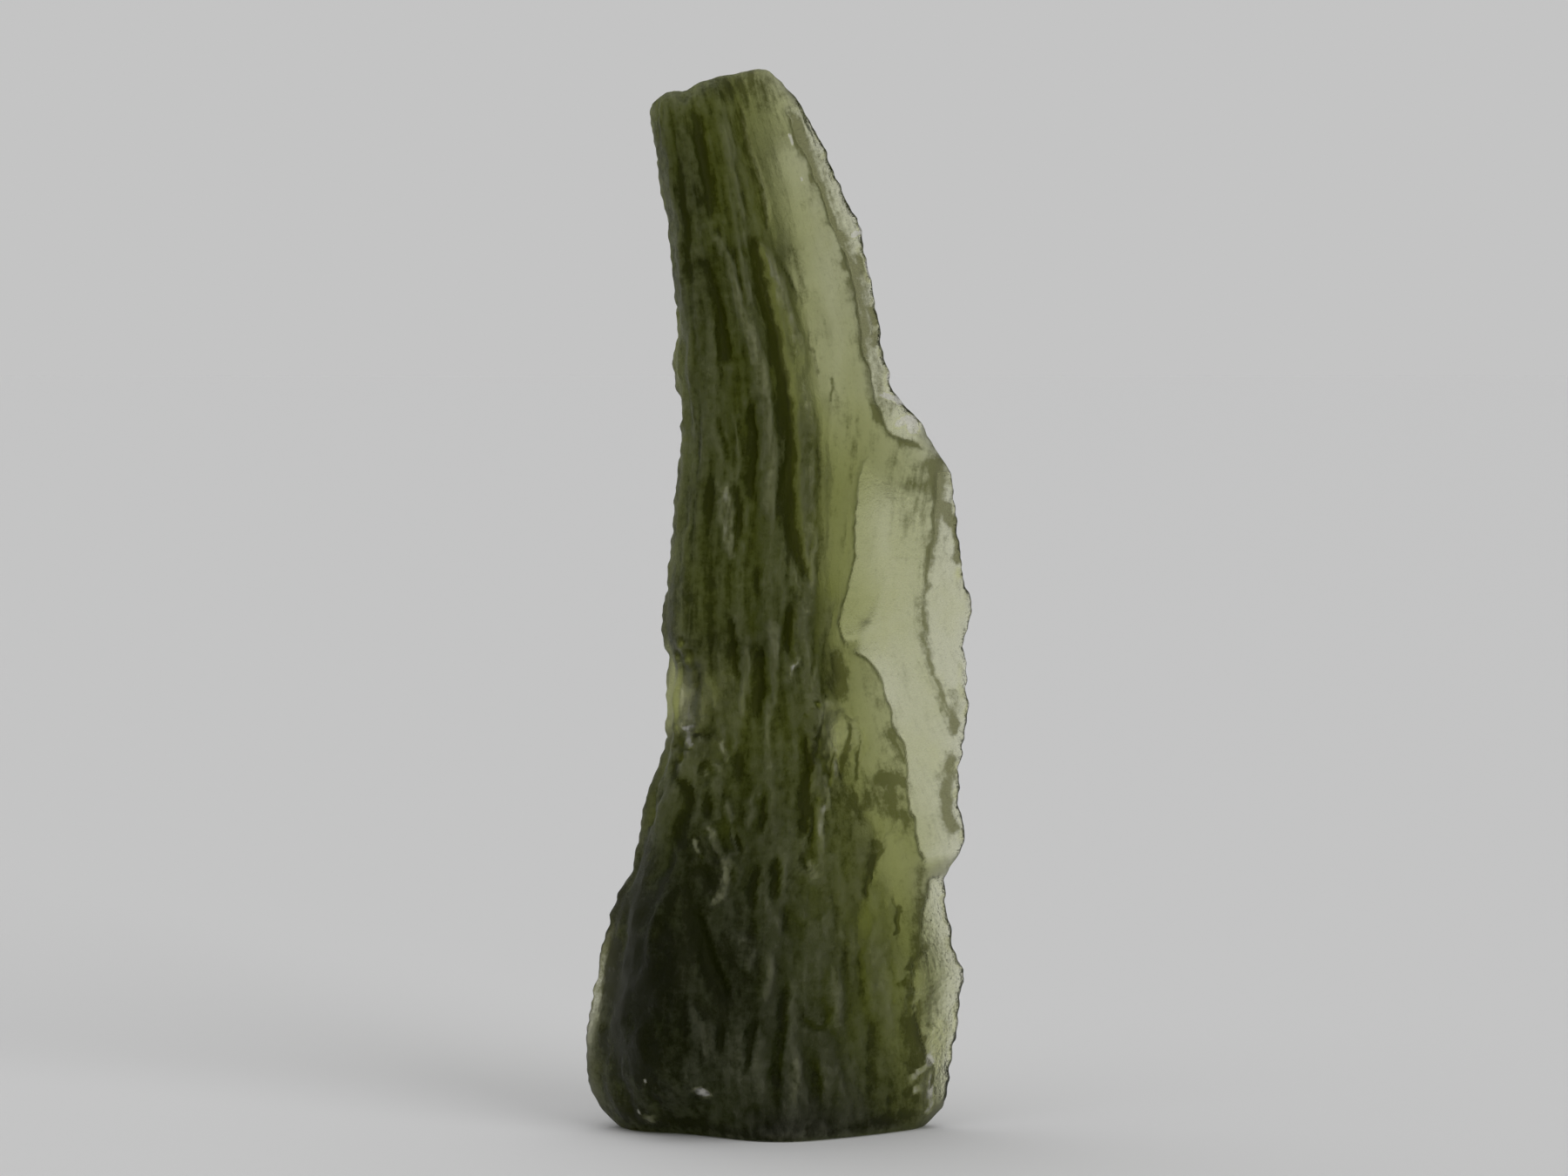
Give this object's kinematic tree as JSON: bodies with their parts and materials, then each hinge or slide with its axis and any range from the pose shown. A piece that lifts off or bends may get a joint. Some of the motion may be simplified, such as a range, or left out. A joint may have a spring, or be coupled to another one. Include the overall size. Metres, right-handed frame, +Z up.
{
  "type": "moldavite",
  "caption": "Upright blade of natural green tektite glass, etched into flutes, thick on one side and thin on the other, standing on its broken foot.",
  "frame": {"origin": "middle of the bounding box on the floor, where the broken foot rests", "axes": "+Z up along the blade, -Y out of the broad fluted front face, +X toward the thin flange side"},
  "size_m": [0.0166, 0.0094, 0.045],
  "materials": {
    "tektite_glass": "see-through olive-green natural glass, almost colourless where it is thin and dark bottle green where it is thick, with a satin etched skin and glossy broken edges"
  },
  "bodies": {
    "root": {"moldavite": "tektite_glass"}
  },
  "joints": []
}
